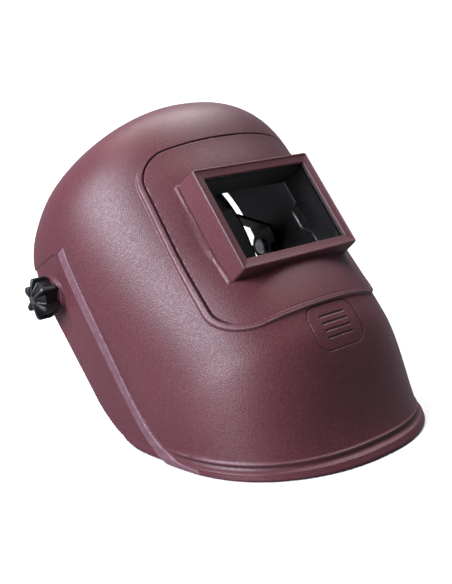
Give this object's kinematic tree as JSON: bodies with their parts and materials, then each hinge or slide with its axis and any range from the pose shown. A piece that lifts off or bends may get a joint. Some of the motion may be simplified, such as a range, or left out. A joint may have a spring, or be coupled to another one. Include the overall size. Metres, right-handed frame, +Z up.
{
  "type": "welding helmet",
  "caption": "Passive welding helmet: moulded plastic shield with a boxed window, side knobs, rim lip and an adjustable ratchet headgear that pivots inside.",
  "frame": {"origin": "middle of the footprint on the surface the helmet stands on", "axes": "+Z up, -Y towards the front of the helmet, +X to the viewer's right when facing the window, in the mirror plane's normal"},
  "size_m": [0.283, 0.338, 0.2647],
  "materials": {
    "shell_plastic": "satin",
    "knob_plastic": "satin",
    "headgear_plastic": "matte",
    "steel": "satin",
    "rubber": "matte",
    "clear_lens": "polished",
    "sweatband_fabric": "matte"
  },
  "bodies": {
    "helmet": {"helmet_shell": "shell_plastic", "lens_gasket": "rubber", "cover_lens": "clear_lens", "lens_retainer": "knob_plastic", "retainer_wires": "steel", "outer_washer_left": "steel", "outer_washer_right": "steel", "friction_washer_left": "rubber", "friction_washer_right": "rubber", "tilt_plate_left": "headgear_plastic", "tilt_plate_right": "headgear_plastic"},
    "headgear": {"headband_front": "headgear_plastic", "band_rivets": "headgear_plastic", "sweatband": "sweatband_fabric", "crown_stud": "headgear_plastic", "ratchet_housing": "headgear_plastic", "ratchet_cover": "headgear_plastic", "detent_spring": "steel", "nape_pad": "sweatband_fabric", "pivot_bolt_left": "steel", "pivot_bolt_right": "steel", "side_strap_left": "headgear_plastic", "side_strap_right": "headgear_plastic", "strap_keeper_left": "headgear_plastic", "strap_keeper_right": "headgear_plastic", "crown_strap_left": "headgear_plastic", "crown_strap_right": "headgear_plastic"},
    "knob_left": {"side_knob_left": "knob_plastic"},
    "knob_right": {"side_knob_right": "knob_plastic"},
    "ratchet": {"ratchet_knob": "knob_plastic", "ratchet_pinion": "headgear_plastic", "ratchet_screw": "steel"},
    "rack_left": {"rear_rack_left": "headgear_plastic"},
    "rack_right": {"rear_rack_right": "headgear_plastic"}
  },
  "joints": [
    {"name": "headgear_tilt", "type": "hinge", "parent": "helmet", "child": "headgear", "pos_m": [0, 0.07567, 0.12076], "axis": [1, 0, 0], "range_deg": [0, 140]},
    {"name": "knob_left_turn", "type": "hinge", "parent": "helmet", "child": "knob_left", "pos_m": [-0.1335, 0.07567, 0.12076], "axis": [-1, 0, 0], "continuous": true},
    {"name": "knob_right_turn", "type": "hinge", "parent": "helmet", "child": "knob_right", "pos_m": [0.1335, 0.07567, 0.12076], "axis": [1, 0, 0], "continuous": true},
    {"name": "ratchet_turn", "type": "hinge", "parent": "headgear", "child": "ratchet", "pos_m": [0, 0.03053, 0.01974], "axis": [0, -0.3065, -0.9519], "range_deg": [-76, 76]},
    {"name": "rack_left_slide", "type": "hinge", "parent": "headgear", "child": "rack_left", "pos_m": [0, 0.05031, 0.08113], "axis": [0, 0.9519, -0.3065], "range_deg": [-8, 8]},
    {"name": "rack_right_slide", "type": "hinge", "parent": "headgear", "child": "rack_right", "pos_m": [0, 0.05031, 0.08113], "axis": [0, 0.9519, -0.3065], "range_deg": [-8, 8]}
  ],
  "couplings": [
    {"joint": "rack_left_slide", "follows": "ratchet_turn", "ratio": 0.10283},
    {"joint": "rack_right_slide", "follows": "ratchet_turn", "ratio": -0.10283}
  ]
}
